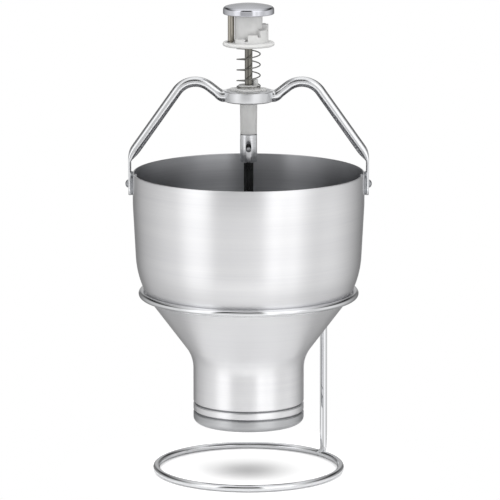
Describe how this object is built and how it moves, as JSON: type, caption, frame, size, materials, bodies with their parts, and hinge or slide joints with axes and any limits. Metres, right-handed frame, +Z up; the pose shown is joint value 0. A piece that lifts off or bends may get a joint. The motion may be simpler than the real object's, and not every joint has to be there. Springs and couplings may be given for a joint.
{
  "type": "batter dispenser",
  "caption": "Spun metal hopper with a round outlet in a one-leg wire stand, with a bail handle, a press knob on a return spring, a stepped portion dial and a plunger valve.",
  "frame": {"origin": "on the table, under the middle of the spindle", "axes": "+Z up along the spindle; -Y to the user; -X and +X to the handle straps"},
  "size_m": [0.2162, 0.2032, 0.417],
  "materials": {
    "hopper_aluminium": "spun, satin, with fine rings round the axis",
    "stand_chrome": "bright plated wire",
    "handle_chrome": "polished tube",
    "knob_chrome": "polished",
    "rod_steel": "turned and polished",
    "fastener_steel": "bright drawn wire and pressed parts",
    "white_plastic": "moulded, slightly translucent",
    "black_plastic": "moulded",
    "seal_rubber": "moulded"
  },
  "bodies": {
    "stand": {"stand_wire": "stand_chrome", "top_ring": "stand_chrome"},
    "hopper": {"hopper_shell": "hopper_aluminium", "outlet_ring": "white_plastic", "ear_plate_left": "fastener_steel", "ear_plate_right": "fastener_steel", "handle_rivets": "fastener_steel", "rivet_washers": "fastener_steel", "handle_arm_left": "handle_chrome", "handle_arm_right": "handle_chrome", "handle_hub": "handle_chrome", "guide_bush": "white_plastic"},
    "spring": {"return_spring": "fastener_steel"},
    "spindle": {"knob": "knob_chrome", "stop_pin": "rod_steel", "spindle_rod": "rod_steel", "coupling_sleeve": "rod_steel", "sleeve_pin": "rod_steel", "plunger_stem": "black_plastic", "piston": "black_plastic", "valve_disc": "black_plastic", "valve_seal": "seal_rubber", "plunger_screw": "fastener_steel"},
    "latch": {"latch_button": "rod_steel"},
    "dial_seat": {"dial_washer": "fastener_steel"},
    "dial": {"portion_dial": "white_plastic"}
  },
  "joints": [
    {"name": "hopper_lift", "type": "slide", "parent": "stand", "child": "hopper", "axis": [0, 0, 1], "range_m": [0, 0.125]},
    {"name": "spindle_spin", "type": "hinge", "parent": "hopper", "child": "spring", "pos_m": [0, 0, 0.35], "axis": [0, 0, 1], "continuous": true},
    {"name": "plunger_press", "type": "slide", "parent": "spring", "child": "spindle", "axis": [0, 0, -1], "range_m": [0, 0.0293], "stiffness_N_per_m": 250, "springref_m": -0.03, "deforming": ["return_spring"]},
    {"name": "latch_press", "type": "slide", "parent": "spindle", "child": "latch", "axis": [0, 1, 0], "range_m": [0, 0.0025], "stiffness_N_per_m": 500, "springref_m": -0.002},
    {"name": "dial_slide", "type": "slide", "parent": "spindle", "child": "dial_seat", "axis": [0, 0, 1], "range_m": [-0.02, 0]},
    {"name": "dial_turn", "type": "hinge", "parent": "dial_seat", "child": "dial", "pos_m": [0, 0, 0.382], "axis": [0, 0, 1], "range_deg": [-180, 0]}
  ],
  "couplings": [
    {"joint": "dial_turn", "follows": "dial_slide", "rad_per_m": 157.07}
  ]
}
